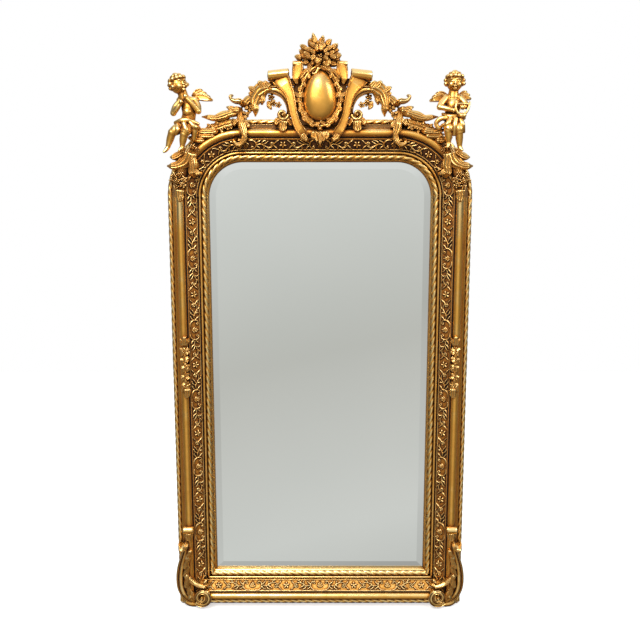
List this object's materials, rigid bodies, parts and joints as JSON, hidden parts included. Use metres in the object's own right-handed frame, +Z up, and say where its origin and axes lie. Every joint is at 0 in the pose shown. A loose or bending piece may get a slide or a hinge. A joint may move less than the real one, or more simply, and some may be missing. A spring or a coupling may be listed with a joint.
{
  "type": "trumeau mirror",
  "caption": "Tall arched wall mirror in a gilded carved frame with rope and frieze mouldings, seated putti at the shoulders, a cabochon crest and hinged hanging rings at the back.",
  "frame": {"origin": "foot of the flat back of the frame: wall plane, centre line, level of the bottom rail's lower outer edge", "axes": "+Y into the wall, square to the flat back; +Z up; +X to the right seen from the front"},
  "size_m": [1.116, 0.1201, 2.1385],
  "materials": {
    "gilded_moulding": "gold leaf over bole and gesso, burnished on the high lines, browned in the hollows",
    "gilded_rope": "gold leaf, rubbed bright on the crowns",
    "gilded_frieze": "matt gold leaf over a dark toned ground",
    "gilded_carving": "gold leaf over bole, dark toning left in the recesses",
    "mirror_glass": "silvered plate glass with a wide shallow bevel",
    "backing_board": "bare, aged",
    "bare_softwood": "bare, aged",
    "felt": "pressed felt",
    "forged_iron": "dull, oiled",
    "hanger_steel": "plain zinc",
    "screw_steel": "plain"
  },
  "bodies": {
    "root": {"arched_head": "gilded_moulding", "backing_board": "backing_board", "board_screws": "screw_steel", "bottom_rail": "gilded_moulding", "bouquet": "gilded_carving", "c_scroll_left": "gilded_carving", "c_scroll_right": "gilded_carving", "cabochon": "gilded_carving", "cabochon_border": "gilded_carving", "corner_irons": "forged_iron", "corner_leaf_left": "gilded_carving", "corner_leaf_right": "gilded_carving", "crest_blocks": "bare_softwood", "crest_board": "bare_softwood", "crest_screws": "screw_steel", "crest_straps": "bare_softwood", "foot_scroll_left": "gilded_carving", "foot_scroll_right": "gilded_carving", "frieze_arched_head": "gilded_frieze", "frieze_bottom_rail": "gilded_frieze", "frieze_stile_left": "gilded_frieze", "frieze_stile_right": "gilded_frieze", "garland_left": "gilded_carving", "garland_right": "gilded_carving", "glass_packing": "felt", "hanger_plate_left": "hanger_steel", "hanger_plate_right": "hanger_steel", "hanger_screws": "screw_steel", "joint_plates": "forged_iron", "mirror_glass": "mirror_glass", "outer_rope_arched_head": "gilded_rope", "outer_rope_bottom_rail": "gilded_rope", "outer_rope_stile_left": "gilded_rope", "outer_rope_stile_right": "gilded_rope", "palmette": "gilded_carving", "plate_screws": "screw_steel", "putto_left": "gilded_carving", "putto_right": "gilded_carving", "scroll_strap_left": "gilded_carving", "scroll_strap_right": "gilded_carving", "setting_blocks": "bare_softwood", "sight_rope_arched_head": "gilded_rope", "sight_rope_bottom_rail": "gilded_rope", "sight_rope_stile_left": "gilded_rope", "sight_rope_stile_right": "gilded_rope", "stile_drop_left": "gilded_carving", "stile_drop_right": "gilded_carving", "stile_left": "gilded_moulding", "stile_right": "gilded_moulding"},
    "hanger_ring_left": {"hanger_ring_left": "hanger_steel"},
    "hanger_ring_right": {"hanger_ring_right": "hanger_steel"}
  },
  "joints": [
    {"name": "hanger_hinge_left", "type": "hinge", "parent": "root", "child": "hanger_ring_left", "pos_m": [-0.488, -0.0062, 1.4], "axis": [1, 0, 0], "range_deg": [0, 180]},
    {"name": "hanger_hinge_right", "type": "hinge", "parent": "root", "child": "hanger_ring_right", "pos_m": [0.488, -0.0062, 1.4], "axis": [1, 0, 0], "range_deg": [0, 180]}
  ]
}
